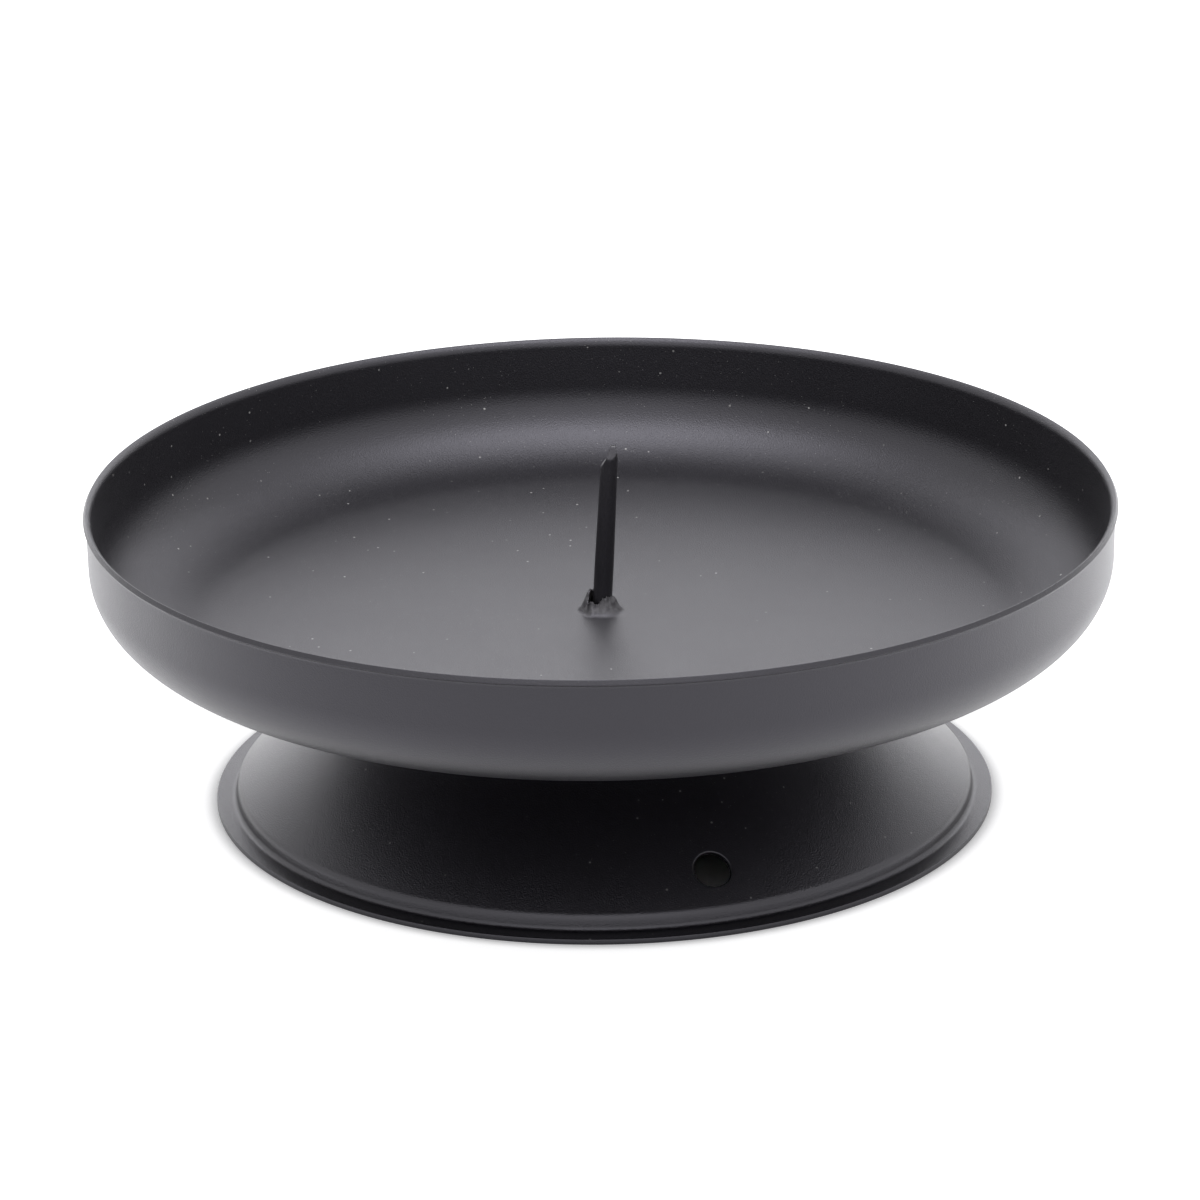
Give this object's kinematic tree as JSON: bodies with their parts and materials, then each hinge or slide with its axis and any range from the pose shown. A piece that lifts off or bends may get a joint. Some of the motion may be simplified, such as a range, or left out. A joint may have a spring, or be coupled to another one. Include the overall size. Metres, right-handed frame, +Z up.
{
  "type": "candle plate",
  "caption": "Round black painted steel dish on a flared foot, with a nail spike that holds a pillar candle upright.",
  "frame": {"origin": "centre of the foot's lower edge, on the table", "axes": "+Z up through the middle of the dish, -Y towards the picture's camera, +X to its right"},
  "size_m": [0.11, 0.11, 0.0393],
  "materials": {
    "dish_paint": "satin black paint with a fine grain",
    "foot_paint": "satin black paint with a fine grain",
    "spike_paint": "satin black paint, thin on the nail's point"
  },
  "bodies": {
    "root": {"dish": "dish_paint", "foot": "foot_paint", "spike": "spike_paint"}
  },
  "joints": []
}
